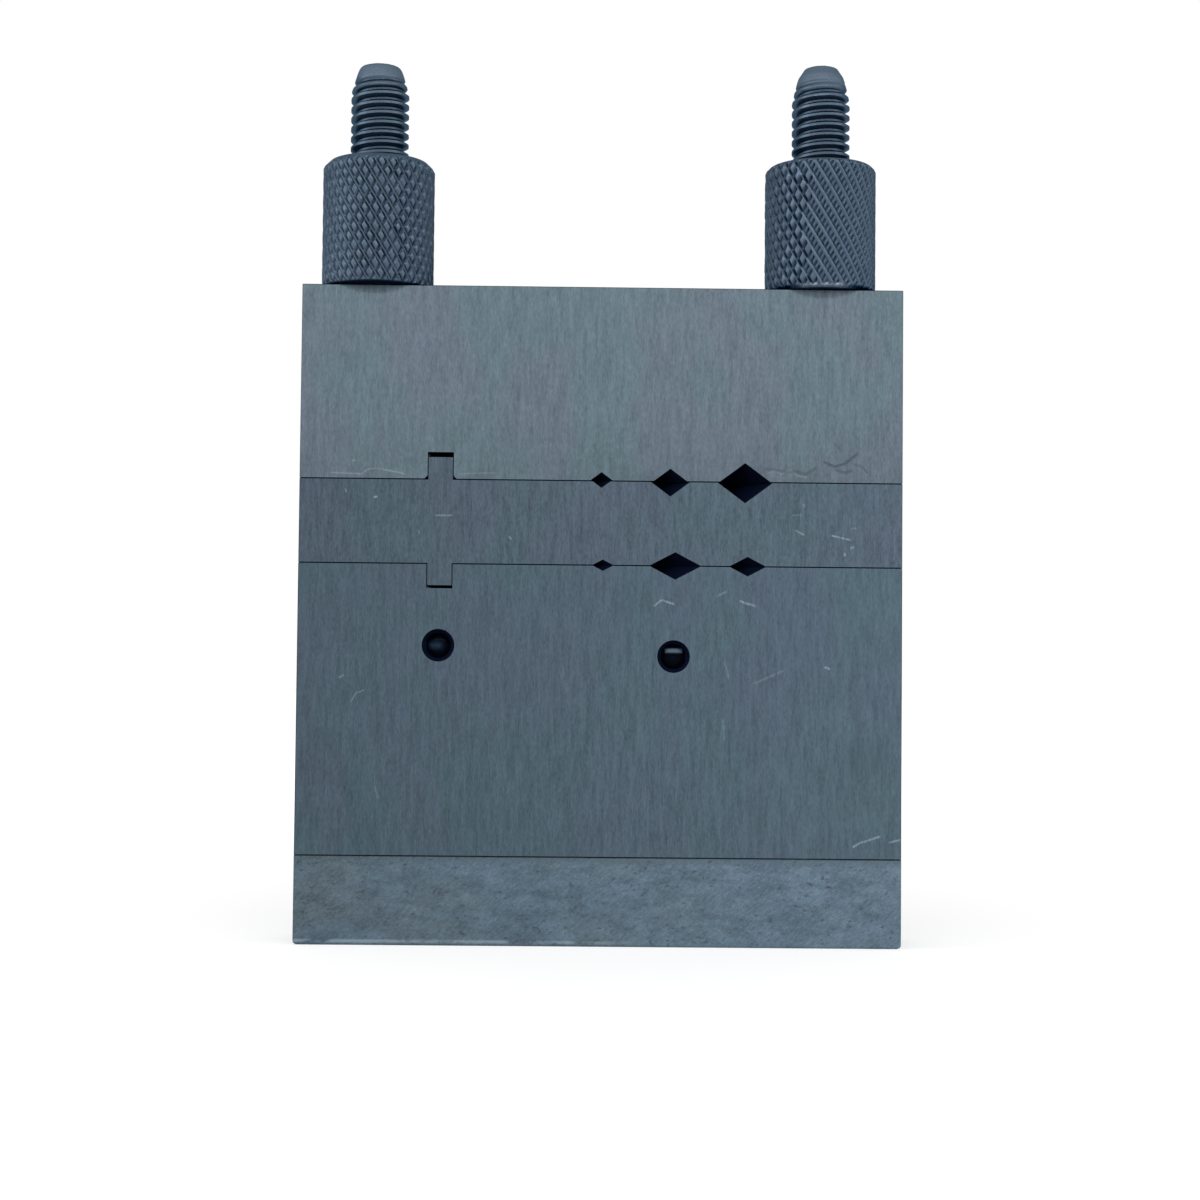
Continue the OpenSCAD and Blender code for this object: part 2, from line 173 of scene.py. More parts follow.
BASE_SCRATCHES = [
    ([(5.3, 33.7), (6.1, 34.3), (7.3, 33.9)], 0.28, 0.7),
    ([(11.5, 34.7), (12.5, 35.2)], 0.28, 0.35),
    ([(13.8, 34.3), (14.3, 34.1), (15.4, 33.8)], 0.28, 0.65),
    ([(22.3, 27.8), (22.8, 27.6)], 0.3, 0.8),
    ([(12.4, 28.2), (12.8, 26.5)], 0.28, 0.25),
    ([(15.3, 26.1), (18.2, 27.4)], 0.28, 0.25),
    ([(25.2, 10.0), (25.8, 10.4), (27.9, 11.1)], 0.28, 0.7),
    ([(28.8, 10.5), (29.9, 10.8)], 0.28, 0.7),
    ([(-24.6, 23.9), (-24.1, 24.8), (-23.3, 25.1)], 0.22, 0.3),
    ([(-25.8, 26.3), (-25.3, 26.6)], 0.25, 0.35),
    ([(-22.1, 15.6), (-21.8, 14.5)], 0.22, 0.35),
    ([(12.3, 22.5), (12.4, 20.5)], 0.3, 0.25),
    ([(12.9, 21.5), (12.8, 19.0)], 0.35, -0.25),
    ([(24.5, 18.7), (28.5, 18.7)], 4.4, -0.2)]
# Height over which the top jaw is smudged above its lower face, and how much darker it is there
SMUDGE_H = 6.0 * MM
SMUDGE = 0.22

# Angle, in degrees, past which an edge of the nuts and studs is sharp, and the distance within which their
# points are joined
SHARP_ANGLE = 50
JOIN_WITHIN = 0.001 * MM
# Knurl, as in the CAD: starts each way round, height of one diamond and depth
KNURL_STARTS = 31
KNURL_RISE = 1.85 * MM
KNURL_DEPTH = 0.28 * MM
# Columns of points across one diamond
KNURL_STEPS = 14
# Widths of the slopes of a ridge, and of a hump's sides and ends, as shares of a diamond
RIDGE_SLOPE = 0.12
HUMP_SIDE_SLOPE = 0.16
HUMP_END_SLOPE = 0.22
# Numbers that turn a diamond's row and column into its chance, from 0 to 1
CHANCE_ROW = 12.9
CHANCE_COLUMN = 78.2
CHANCE_SPREAD = 43758.5
# Looks of the knurl. The tops, the floor and the number of humps are plain values. The others are shares of
# a diamond: half the width of its long ridges, and the middle, half width and half length of the humps.
LINES = {"ridge_top": 1.0, "ridge_half": 0.07, "hump_top": 1.0, "middle": 0.5, "half": 0.35,
         "end": 0.46, "humps": 1, "floor": 0.06}
DIAMONDS = {"ridge_top": 0.95, "ridge_half": 0.03, "hump_top": 1.1, "middle": 0.55, "half": 0.36,
            "end": 0.42, "humps": 1, "floor": 0.0}
SCALES = {"ridge_top": 0.9, "ridge_half": 0.05, "hump_top": 1.2, "middle": 0.62, "half": 0.4,
          "end": 0.42, "humps": 1, "floor": 0.0}
HATCH = {"ridge_top": 0.85, "ridge_half": 0.13, "hump_top": 0.65, "middle": 0.57, "half": 0.34,
         "end": 0.33, "humps": 2, "floor": 0.0}
# Each nut's main look, its second look, and the shares of a turn that the second one lies between
KNURLS = {"left": (LINES, DIAMONDS, 0.82, 1.0), "right": (HATCH, SCALES, 0.4, 0.69)}
# How far the border between two looks wanders, and the lowest and highest hump
LOOK_WANDER = 0.05
HUMP_LOW = 0.55
HUMP_HIGH = 1.0
# Chamfers of the nuts, at the top and under the foot
NUT_TOP_CHAMFER = {"left": 0.65 * MM, "right": 0.4 * MM}
NUT_FOOT_CHAMFER = 0.4 * MM
# Height of the first row of points above a nut's foot
FOOT_ROW = 0.02 * MM
# Height of the painted black shadow line round a nut's foot, and the height over which it fades
FOOT_SHADOW_HEIGHT = {"left": 0.15 * MM, "right": 0.32 * MM}
SHADOW_FADE = 0.12 * MM
# Relief value of the painted black shadow under and round the nuts' feet, where 1 is bare steel
PAINTED_SHADOW_RELIEF = -0.85
# The painted highlight on the right nut's foot, for the light it mirrors there: its middle and half its
# width, as shares of a turn, how far its ends fade, its relief at the lower and the upper edge, how uneven
# that edge is, and where it ends under the nut
PAINTED_SHEEN_AT = 0.744
PAINTED_SHEEN_HALF = {"left": 0.0, "right": 0.105}
PAINTED_SHEEN_ENDS = 0.05
PAINTED_SHEEN_LOW = 0.6
PAINTED_SHEEN_HIGH = 1.45
PAINTED_SHEEN_EDGE = 0.08 * MM
PAINTED_SHEEN_R = 4.8 * MM
# Relief value of the thread's crest at the tip, how much it falls over each millimetre, and the lowest
CREST_TONE = 0.56
CREST_FALL = 0.035
CREST_LOW = 0.2
# Radius of the nuts' bores, the chamfer at their ends, and their relief value
NUT_BORE_R = 3.0 * MM
NUT_BORE_LEAD = 0.4 * MM
BORE_TONE = 0.6

# Thread of the studs
PITCH = 1.0 * MM
THREAD_DEPTH = 0.5 * MM
TIP_THREAD_DEPTH = 0.25 * MM
# Length over which the thread grows from nothing below the plain tip
RUN_OUT = 0.5 * MM
THREAD_COLUMNS = 40
# Half the width of the thread's crest and of its root, as shares of the pitch
CREST_HALF = 0.12
ROOT_HALF = 0.09
# Places of the rows of points within one pitch, from the middle of a crest
THREAD_ROWS = (0.0, 0.06, 0.12, 0.22, 0.32, 0.41, 0.5, 0.59, 0.68, 0.78, 0.88, 0.94)
# Length without thread at each stud's tip, and the start of its thread, as a share of the pitch
STUD_PLAIN = {"left": 1.4 * MM, "right": 1.95 * MM}
THREAD_PHASE = {"left": 0.12, "right": 0.17}
# Outlines of the studs' tips: depth below the end and radius, in millimetres
TIPS = {"left": [(0.0, 0.9), (0.05, 1.5), (0.18, 1.98), (0.37, 2.14), (0.62, 2.26), (1.02, 2.4),
                 (2.0, 2.69), (2.9, 2.95)],
        "right": [(0.0, 0.9), (0.06, 1.4), (0.18, 1.72), (0.38, 1.85), (0.65, 2.02), (1.05, 2.29),
                  (1.5, 2.44), (2.5, 2.7), (3.5, 2.92), (3.7, 2.95)]}

# Studio: each lamp's name, place, width, height and radiance
LAMPS = (("front_strip", (0.0, -0.55, 0.42), 1.1, 0.07, 9.0),
         ("left_panel", (-0.7, -0.25, 0.35), 0.5, 0.5, 2.0),
         ("right_panel", (0.7, -0.25, 0.35), 0.5, 0.5, 1.2))
LAMP_TARGET = Vector((0.0, 0.0, 0.045))
# Strength of the world's light on the object. Where the world is seen, its strength is 1
FILL_LIGHT = 0.6
# Half the floor's width and its two tones
FLOOR_HALF = 2.0
FLOOR_DARK = (0.5, 0.5, 0.5, 1.0)
FLOOR_LIGHT = (0.54, 0.54, 0.54, 1.0)
# The floor's glow: the distances from its middle between which it rises, and its strength at each of them
GLOW_FROM = 0.04
GLOW_TO = 0.25
GLOW_NEAR = 0.56
GLOW_FAR = 0.75


def new_material(name):
    """A material with its node tree and its Principled shader."""
    material = bpy.data.materials.new(name)
    material.use_nodes = True
    return material, material.node_tree, material.node_tree.nodes["Principled BSDF"]


def add(tree, kind, inputs, **settings):
    """A new shader node. Each input is a value or another node's output."""
    made = tree.nodes.new("ShaderNode" + kind)
    for key, value in settings.items():
        setattr(made, key, value)
    for key, value in inputs.items():
        if isinstance(value, bpy.types.NodeSocket):
            tree.links.new(value, made.inputs[key])
        else:
            made.inputs[key].default_value = value
    return made


def maths(tree, operation, a, b=0.0):
    """The result of one sum, product or the like."""
    return add(tree, "Math", {0: a, 1: b}, operation=operation).outputs[0]


def product(tree, a, b):
    """One value times another."""
    return maths(tree, "MULTIPLY", a, b)


def apart(tree, a, b):
    """How far two values are from each other."""
    return maths(tree, "ABSOLUTE", maths(tree, "SUBTRACT", a, b))


def spread(tree, value, low, high, to_low=0.0, to_high=1.0):
    """Value carried from the range low to high over to the range to_low to to_high, and kept in it."""
    made = add(tree, "MapRange", {"Value": value, "From Min": low, "From Max": high,
                                  "To Min": to_low, "To Max": to_high}, clamp=True)
    return made.outputs["Result"]


def fall(tree, value, low, high):
    """1 where value is up to low, falling to 0 at high."""
    return spread(tree, value, low, high, 1.0, 0.0)


def mixed(tree, share, first, second):
    """The first colour where share is 0, the second where it is 1."""
    return add(tree, "MixRGB", {"Fac": share, "Color1": first, "Color2": second}).outputs["Color"]


def grain(tree, place, noise, shift=0.0, lean=0.0):
    """One of the noises above, from 0 to 1. Shift is a further shift in mm, and lean turns the noise round
    Y, in degrees."""
    per_mm, detail, rough, own_shift = noise
    corner = [(shift + own_shift) * MM] * 3
    size = [MM / n for n in per_mm]
    moved = add(tree, "Mapping", {"Vector": place, "Location": corner, "Scale": size,
                                  "Rotation": (0.0, math.radians(lean), 0.0)}, vector_type="TEXTURE")
    made = add(tree, "TexNoise", {"Vector": moved.outputs["Vector"], "Scale": 1.0, "Detail": detail,
                                  "Roughness": rough})
    return made.outputs["Fac"]


def tinted(colour, share=1.0):
    """The colour made lighter or darker by a share, with the alpha that a socket wants."""
    return tuple(c * share for c in colour) + (1.0,)


def weighted(colour, weights):
    """The colour with its red, green and blue each times its own weight."""
    return tuple(c * w for c, w in zip(colour, weights))


def side_shaded(tree, place, colour, side_shading):
    """The colour, painted darker by the given share at the left end of the jig and lighter by it at the
    right end, as painted shading for light that is stronger on the right.
    """
    x = add(tree, "SeparateXYZ", {"Vector": place}).outputs["X"]
    return mixed(tree, spread(tree, x, -JIG_HALF, JIG_HALF), tinted(colour, 1.0 - side_shading),
                 tinted(colour, 1.0 + side_shading))


def times(tree, colour, share):
    """Colour made lighter or darker by a share that varies over the surface."""
    return add(tree, "VectorMath", {0: colour, "Scale": share}, operation="SCALE").outputs["Vector"]


def scratch(tree, place, start, end, width):
    """1 on a straight scratch between two points of the front face, given as x and z in millimetres."""
    run, rise = end[0] - start[0], end[1] - start[1]
    length = math.hypot(run, rise)
    middle = ((start[0] + end[0]) / 2 * MM, FRONT_Y, (start[1] + end[1]) / 2 * MM)
    turn = (0.0, -math.atan2(rise, run), 0.0)
    half_size = (length / 2 * MM, SCRATCH_DEPTH, width / 2 * MM)
    moved = add(tree, "Mapping", {"Vector": place, "Location": middle, "Rotation": turn,
                                  "Scale": half_size}, vector_type="TEXTURE")
    size = add(tree, "VectorMath", {0: moved.outputs["Vector"]}, operation="ABSOLUTE").outputs["Vector"]
    part = add(tree, "SeparateXYZ", {"Vector": size}).outputs
    line = product(tree, fall(tree, part["X"], 0.85, 1.15), fall(tree, part["Z"], 0.4, 1.0))
    return product(tree, line, fall(tree, part["Y"], 0.9, 1.0))


def cut_faces(tree, normal, upright):
    """Where shade is painted: 1 on sloping faces, such as grooves and broken edges, the value upright on
    broken edges that stand upright, and 0 on faces square to an axis."""
    size = add(tree, "VectorMath", {0: normal}, operation="ABSOLUTE").outputs["Vector"]
    part = add(tree, "SeparateXYZ", {"Vector": size}).outputs
    most = maths(tree, "MAXIMUM", maths(tree, "MAXIMUM", part["X"], part["Y"]), part["Z"])
    sloping = fall(tree, most, 0.97, 0.99)
    return product(tree, sloping, spread(tree, part["Z"], 0.02, 0.08, upright, 1.0))


def slot_ends(tree, place, normal):
    """Where shade is painted in the gaps: 1 on the ends of the tongues and of the slots that they stand in.
    """
    low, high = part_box("middle_jaw")
    reach = (high.z - low.z) / 2
    height = add(tree, "SeparateXYZ", {"Vector": place}).outputs["Z"]
    off = apart(tree, height, (low.z + high.z) / 2)
    near = product(tree, spread(tree, off, reach - 0.2 * MM, reach - 0.1 * MM),
                   fall(tree, off, reach + 1.0 * MM, reach + 1.1 * MM))
    flat = maths(tree, "ABSOLUTE", add(tree, "SeparateXYZ", {"Vector": normal}).outputs["Z"])
    return product(tree, near, spread(tree, flat, 0.4, 0.6))


def smudges(tree, place, shift):
    """How dirty the top jaw is, from 0 to 1, uneven and fading upward from its lower face."""
    seam_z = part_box("top_jaw")[0].z
    height = add(tree, "SeparateXYZ", {"Vector": place}).outputs["Z"]
    above = fall(tree, height, seam_z, seam_z + SMUDGE_H)
    soiled = spread(tree, grain(tree, place, GROUND_SOIL, shift), 0.4, 0.6, 0.3, 1.0)
    return product(tree, above, soiled)


def ground_steel(name, colour, side_shading, contrast, upright, shift, scratches, smudged=False):
    """Ground tool steel: fine upright grinding lines, soft clouds of tone, and painted shade in its cuts,
    edges and slot ends. Shift picks its own part of the noises."""
    material, tree, shader = new_material(name)
    source = add(tree, "TexCoord", {}).outputs
    place = source["Object"]
    normal = source["Normal"]
    lines = grain(tree, place, GROUND_LINES, shift)
    fine = grain(tree, place, GROUND_FINE, shift)
    clouds = grain(tree, place, GROUND_CLOUDS, shift)
    tone = maths(tree, "ADD", product(tree, lines, 0.5), product(tree, fine, 0.5))
    tone = spread(tree, tone, 0.28, 0.72)
    green = weighted(colour, GREEN_SHARE)
    violet = weighted(colour, VIOLET_SHARE)
    patch = spread(tree, clouds, 0.4, 0.6)
    light = mixed(tree, patch, side_shaded(tree, place, green, side_shading), side_shaded(tree, place, violet, side_shading))
    light = times(tree, light, spread(tree, tone, 0.0, 1.0, 1.0 - contrast, 1.0 + contrast))
    if smudged:
        light = mixed(tree, product(tree, smudges(tree, place, shift), SMUDGE), light, tinted(colour, 0.4))
    worn = spread(tree, fine, 0.35, 0.6, 0.3, 1.0)
    for points, width, strength in scratches:
        for start, end in zip(points, points[1:]):
            line = scratch(tree, place, start, end, width)
            mark = product(tree, product(tree, line, worn), abs(strength))
            light = mixed(tree, mark, light, SCRATCH_AND_SHEEN_COLOUR if strength > 0 else tinted(colour, 0.3))
    # painted shade: grooves, broken edges and slot ends are painted near black and not mirrored
    dark = mixed(tree, fine, tinted(CUT_SHADE_DARK), tinted(CUT_SHADE_LIGHT))
    cut = maths(tree, "MAXIMUM", cut_faces(tree, normal, upright), slot_ends(tree, place, normal))
    surface = mixed(tree, cut, light, dark)
    tree.links.new(surface, shader.inputs["Base Color"])
    tree.links.new(fall(tree, cut, 0.0, 1.0), shader.inputs["Metallic"])
    shader.inputs["Specular IOR Level"].default_value = 0.0
    tree.links.new(spread(tree, lines, 0.3, 0.7, 0.46, 0.36), shader.inputs["Roughness"])
    bump = add(tree, "Bump", {"Strength": 0.35, "Distance": 0.006 * MM, "Height": tone})
    tree.links.new(bump.outputs["Normal"], shader.inputs["Normal"])
    return material


def mill_steel(name, colour, side_shading, foot_top):
    """Unground bar: mottled, with small dark pits, a brownish tint in places and a painted highlight
    along its lower edge.
    """
    material, tree, shader = new_material(name)
    place = add(tree, "TexCoord", {}).outputs["Object"]
    part = add(tree, "SeparateXYZ", {"Vector": place}).outputs
    mottle = grain(tree, place, FOOT_MOTTLE)
    fine = grain(tree, place, FOOT_FINE)
    strokes = grain(tree, place, FOOT_STROKES, lean=STROKES_LEAN)
    pits = spread(tree, grain(tree, place, FOOT_PITS), 0.6, 0.66)
    tone = maths(tree, "ADD", product(tree, mottle, 0.4), product(tree, fine, 0.35))
    tone = maths(tree, "ADD", tone, product(tree, strokes, 0.25))
    brown = weighted(colour, BROWN_SHARE)
    tint = spread(tree, grain(tree, place, FOOT_BROWN), 0.42, 0.62)
    tint = product(tree, tint, spread(tree, part["X"], -JIG_HALF, JIG_HALF, 0.5, 0.1))
    light = mixed(tree, tint, side_shaded(tree, place, colour, side_shading), side_shaded(tree, place, brown, side_shading))
    light = times(tree, light, spread(tree, tone, 0.3, 0.7, 1.0 - MILL_CONTRAST, 1.0 + MILL_CONTRAST))
    light = mixed(tree, product(tree, pits, 0.6), light, tinted(colour, 0.35))
    scale_edge = spread(tree, part["Z"], foot_top - 0.9 * MM, foot_top - 0.1 * MM)
    scale_edge = product(tree, scale_edge, spread(tree, mottle, 0.35, 0.6))
    light = mixed(tree, product(tree, scale_edge, 0.5), light, tinted(brown, 0.55))
    # painted highlight: a pale line along the left part of the lower edge, for the floor's reflection there
    edge_sheen = fall(tree, apart(tree, part["Z"], EDGE_SHEEN_Z), 0.08 * MM, 0.22 * MM)
    edge_sheen = product(tree, edge_sheen, fall(tree, part["X"], -0.1 * JIG_HALF, 0.15 * JIG_HALF))
    edge_sheen = product(tree, edge_sheen, spread(tree, mottle, 0.35, 0.55))
    light = mixed(tree, product(tree, edge_sheen, 0.6), light, SCRATCH_AND_SHEEN_COLOUR)
    tree.links.new(light, shader.inputs["Base Color"])
    shader.inputs["Metallic"].default_value = 1.0
    tree.links.new(spread(tree, tone, 0.3, 0.7, 0.5, 0.4), shader.inputs["Roughness"])
    bump = add(tree, "Bump", {"Strength": 0.5, "Distance": 0.04 * MM, "Height": tone})
    tree.links.new(bump.outputs["Normal"], shader.inputs["Normal"])
    return material


def dark_steel(name, light, dark, roughness, wear, dull):
    """Dark oiled steel. The relief value at the piece's own points says where it is bare and light, at 1,
    dark, at 0, or painted black as shadow, at -1. Past 1 it takes a painted highlight. Wear is how far its
    light parts darken in places, and dull is how much rougher they are."""
    material, tree, shader = new_material(name)
    place = add(tree, "TexCoord", {}).outputs["Object"]
    relief = add(tree, "Attribute", {}, attribute_name="relief").outputs["Fac"]
    fine = grain(tree, place, DARK_FINE)
    clouds = grain(tree, place, DARK_CLOUDS)
    worn = spread(tree, grain(tree, place, DARK_WORN), 0.35, 0.6, 1.0 - wear, 1.0)
    bare = spread(tree, relief, 0.0, 1.0)
    tone = mixed(tree, product(tree, bare, worn), tinted(dark), tinted(light))
    green = weighted(light, GREEN_SHARE)
    violet = weighted(light, NUT_VIOLET_SHARE)
    patch = mixed(tree, spread(tree, clouds, 0.4, 0.6), tinted(green, 0.8), tinted(violet, 0.8))
    tone = mixed(tree, product(tree, bare, wear), tone, patch)
    tone = mixed(tree, spread(tree, fine, 0.35, 0.75, 0.0, 0.3), tone, tinted(light, 0.5))
    # painted shadow: relief below 0 turns black, for the shade under and round the nuts' feet
    tone = mixed(tree, spread(tree, relief, -1.0, 0.0), tinted(PAINTED_SHADOW_COLOUR), tone)
    # painted highlight: relief past 1 turns pale, for the light mirrored by the right nut's foot
    tone = mixed(tree, spread(tree, relief, 1.0, 2.0), tone, tinted(PAINTED_SHEEN_COLOUR))
    tree.links.new(tone, shader.inputs["Base Color"])
    shader.inputs["Metallic"].default_value = 1.0
    shader.inputs["Specular Tint"].default_value = DARK_EDGE_TINT
    rough = maths(tree, "ADD", spread(tree, fine, 0.3, 0.7, roughness, roughness + 0.1),
                  spread(tree, relief, 0.4, 1.0, 0.0, dull))
    tree.links.new(rough, shader.inputs["Roughness"])
    bump = add(tree, "Bump", {"Strength": 0.3, "Distance": 0.01 * MM, "Height": fine})
    tree.links.new(bump.outputs["Normal"], shader.inputs["Normal"])
    return material


def black_steel(name, colour, roughness, specular, painted_highlight=None):
    """Blackened steel of the pins and the hidden screws. The last argument is a painted highlight, a
    brighter bar for a lamp's reflection: its colour, its middle as x and z, its width, its height and the
    softness of its rim, all but the colour in millimetres."""
    material, tree, shader = new_material(name)
    place = add(tree, "TexCoord", {}).outputs["Object"]
    fine = grain(tree, place, BLACK_FINE)
    surface = mixed(tree, fine, tinted(colour, 0.6), tinted(colour, 1.4))
    if painted_highlight:
        bright, (x, z), width, height, soft = painted_highlight
        part = add(tree, "SeparateXYZ", {"Vector": place}).outputs
        off_x = apart(tree, part["X"], x * MM)
        off_z = apart(tree, part["Z"], z * MM)
        bar = product(tree, fall(tree, off_x, (width / 2 - soft) * MM, (width / 2 + soft) * MM),
                      fall(tree, off_z, (height / 2 - soft) * MM, (height / 2 + soft) * MM))
        # painted highlight: the bar is painted lighter, for a lamp's reflection on the pin
        surface = mixed(tree, bar, surface, tinted(bright))
    tree.links.new(surface, shader.inputs["Base Color"])
    rough = spread(tree, fine, 0.3, 0.7, roughness * 0.8, roughness * 1.2)
    tree.links.new(rough, shader.inputs["Roughness"])
    shader.inputs["Specular IOR Level"].default_value = specular
    shader.inputs["Specular Tint"].default_value = BLACK_EDGE_TINT
    return material


def pin_place(node):
    """Middle of a pin, seen from the front, as x and z in millimetres."""
    low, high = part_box(node)
    return (low.x + high.x) / 2 / MM, (low.z + high.z) / 2 / MM


def paint(piece, material):
    """Gives the piece one material alone."""
    piece.data.materials.clear()
    piece.data.materials.append(material)


def make_mesh(name, points, faces, relief):
    """A mesh piece with a relief value at each point, smooth apart from its sharp edges."""
    mesh = bpy.data.meshes.new(name)
    mesh.from_pydata(points, [], faces)
    values = mesh.attributes.new("relief", "FLOAT", "POINT")
    values.data.foreach_set("value", relief)
    mesh.shade_smooth()
    mesh.set_sharp_from_angle(angle=math.radians(SHARP_ANGLE))
    piece = bpy.data.objects.new(name, mesh)
    bpy.context.scene.collection.objects.link(piece)
    return piece


def ring_faces(columns, lower, upper):
    """Quads between two rings of points, given by the index of each ring's first point."""
    after = [(i + 1) % columns for i in range(columns)]
    return [(lower + i, lower + j, upper + j, upper + i) for i, j in enumerate(after)]


def knurl_height(across, along, knurl):
    """Height of the knurl from 0, its hollows, to 1. Across counts the long ridges and along counts the
    cuts that cross them. Each diamond has its own hump and, near a border, its own look."""
    main, other, start, stop = knurl
    row, column = math.floor(across), math.floor(along)
    seed = (row + 0.5) % KNURL_STARTS * CHANCE_ROW + (column + 0.5) % KNURL_STARTS * CHANCE_COLUMN
    chance = math.sin(seed) * CHANCE_SPREAD % 1.0
    turn = (row + column + 1.0) / 2 / KNURL_STARTS + (chance - 0.5) * LOOK_WANDER
    look = other if start < turn < stop else main
    off_ridge = abs(across - round(across))
    ridge = look["ridge_top"] * (1.0 - (off_ridge - look["ridge_half"]) / RIDGE_SLOPE)
    side = abs(across - row - look["middle"])
    end = abs((along * look["humps"]) % 1.0 - 0.5)
    top = HUMP_LOW + (HUMP_HIGH - HUMP_LOW) * chance
    hump = min(top * look["hump_top"], (look["half"] - side) / HUMP_SIDE_SLOPE,
               (look["end"] - end) / HUMP_END_SLOPE)
    return min(1.0, max(look["floor"], min(ridge, look["ridge_top"]), hump))


def ragged(i):
    """An uneven value round 0 for each column of points, as the sum of two waves."""
    return math.sin(i * 0.41) + 0.7 * math.sin(i * 0.97)


def knurled_nut(side):
    """The nut of one side with its knurl cut as real diamonds, round the place of its CAD node."""
    low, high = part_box("nut_" + side)
    knurl, shadow_height = KNURLS[side], FOOT_SHADOW_HEIGHT[side]
    x, y = (low.x + high.x) / 2, (low.y + high.y) / 2
    rim = (high.x - low.x) / 2
    columns = KNURL_STARTS * KNURL_STEPS
    row_h = KNURL_RISE / KNURL_STEPS
    height = high.z - low.z
    levels = [FOOT_ROW] + [k * row_h for k in range(1, math.ceil(height / row_h))] + [height]
    points, relief = [], []

    def add_ring(z, radius_at):
        for i in range(columns):
            angle = 2 * math.pi * i / columns
            radius, rise = radius_at(i)
            points.append((x + radius * math.cos(angle), y + radius * math.sin(angle), low.z + z))
            relief.append(rise)

    # Share of the painted highlight on the foot, round the nut
    def painted_sheen(i):
        return min(1.0, max(0.0, (PAINTED_SHEEN_HALF[side] - abs(i / columns - PAINTED_SHEEN_AT)) / PAINTED_SHEEN_ENDS))

    # The foot's tone: painted black shadow, or the painted highlight where that lies
    def foot_tone(i, bright):
        return PAINTED_SHADOW_RELIEF + (bright - PAINTED_SHADOW_RELIEF) * painted_sheen(i)

    add_ring(0.0, lambda i: (rim - NUT_FOOT_CHAMFER, foot_tone(i, PAINTED_SHEEN_LOW)))
    for z in levels:
        foot_cone = rim - NUT_FOOT_CHAMFER + z
        top_cone = rim - NUT_TOP_CHAMFER[side] + height - z

        def outside(i, z=z, cone=min(foot_cone, top_cone)):
            turn = i / KNURL_STEPS
            h = knurl_height(turn + z / KNURL_RISE, turn - z / KNURL_RISE, knurl)
            cut = rim - KNURL_DEPTH * (1.0 - h)
            # painted shadow line round the foot, fading upward into the knurl
            start = shadow_height + PAINTED_SHEEN_EDGE * ragged(i) * painted_sheen(i)
            bare = min(1.0, max(0.0, (z - start) / SHADOW_FADE))
            foot = foot_tone(i, PAINTED_SHEEN_LOW + (PAINTED_SHEEN_HIGH - PAINTED_SHEEN_LOW) * min(1.0, z / shadow_height))
            return min(cone, cut), foot + ((1.0 if cone < cut else h) - foot) * bare

        add_ring(z, outside)
    mouth = NUT_BORE_R + NUT_BORE_LEAD
    # The bore, then the underside, painted black as shadow out to where the painted highlight begins
    for z, radius, tone in ((height, mouth, BORE_TONE), (height - NUT_BORE_LEAD, NUT_BORE_R, BORE_TONE),
                            (NUT_BORE_LEAD, NUT_BORE_R, BORE_TONE), (0.0, mouth, PAINTED_SHADOW_RELIEF),
                            (0.0, PAINTED_SHEEN_R - SHADOW_FADE, PAINTED_SHADOW_RELIEF)):
        add_ring(z, lambda i, radius=radius, tone=tone: (radius, tone))
    add_ring(0.0, lambda i: (PAINTED_SHEEN_R, foot_tone(i, PAINTED_SHEEN_LOW)))
    rings = len(points) // columns
    faces = []
    for k in range(rings):
        faces += ring_faces(columns, k * columns, (k + 1) % rings * columns)
    return make_mesh("nut_" + side + "_knurled", points, faces, relief)


def thread_cut(row):
    """Depth below the crest, from 0 to 1, at a place within one pitch."""
    off = min(row, 1.0 - row)
    return min(1.0, max(0.0, (off - CREST_HALF) / (0.5 - ROOT_HALF - CREST_HALF)))


def tip_radius(depth, tip):
    """Radius of a stud's tip at a depth below its end, along the points of tip. Further down it has no
    limit."""
    for (d0, r0), (d1, r1) in zip(tip, tip[1:]):
        if depth <= d1 * MM:
            return r0 * MM + (r1 - r0) * (depth - d0 * MM) / (d1 - d0)
    return math.inf


def threaded_stud(side):
    """The stud of one side with a true right-hand helix, round the place of its CAD node."""
    low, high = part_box("stud_" + side)
    x, y = (low.x + high.x) / 2, (low.y + high.y) / 2
    crest = (high.x - low.x) / 2
    per_turn = len(THREAD_ROWS)
    turns = math.ceil((high.z - low.z) / PITCH) + 2
    rows = turns * per_turn
    points, relief = [], []
    for j in range(rows):
        row = j // per_turn + THREAD_ROWS[j % per_turn]
        for i in range(THREAD_COLUMNS):
            turn = i / THREAD_COLUMNS
            angle = 2 * math.pi * turn
            z = low.z + (row - 1.0 - THREAD_PHASE[side] + turn) * PITCH
            z = min(high.z, max(low.z, z))
            cut = thread_cut(THREAD_ROWS[j % per_turn])
            grown = min(1.0, max(0.0, (high.z - z - STUD_PLAIN[side]) / RUN_OUT))
            lead = crest - THREAD_DEPTH + (z - low.z)
            cone = tip_radius(high.z - z, TIPS[side]) - TIP_THREAD_DEPTH * cut * grown
            radius = min(crest - THREAD_DEPTH * cut, lead, cone)
            points.append((x + radius * math.cos(angle), y + radius * math.sin(angle), z))
            tone = max(CREST_LOW, CREST_TONE - CREST_FALL * (high.z - z) / MM)
            relief.append(max(1.0 - grown, tone * (1.0 - cut)))
    faces = []
    last = THREAD_COLUMNS - 1
    for j in range(rows - 1):
        here, above = j * THREAD_COLUMNS, (j + 1) * THREAD_COLUMNS
        faces += [(here + i, here + i + 1, above + i + 1, above + i) for i in range(last)]
        wrap = (j + per_turn) * THREAD_COLUMNS
        if j + per_turn + 1 < rows:
            faces.append((here + last, wrap, wrap + THREAD_COLUMNS, above + last))
    piece = make_mesh("stud_" + side + "_threaded", points, faces, relief)
    close_ends(piece.data)
    return piece


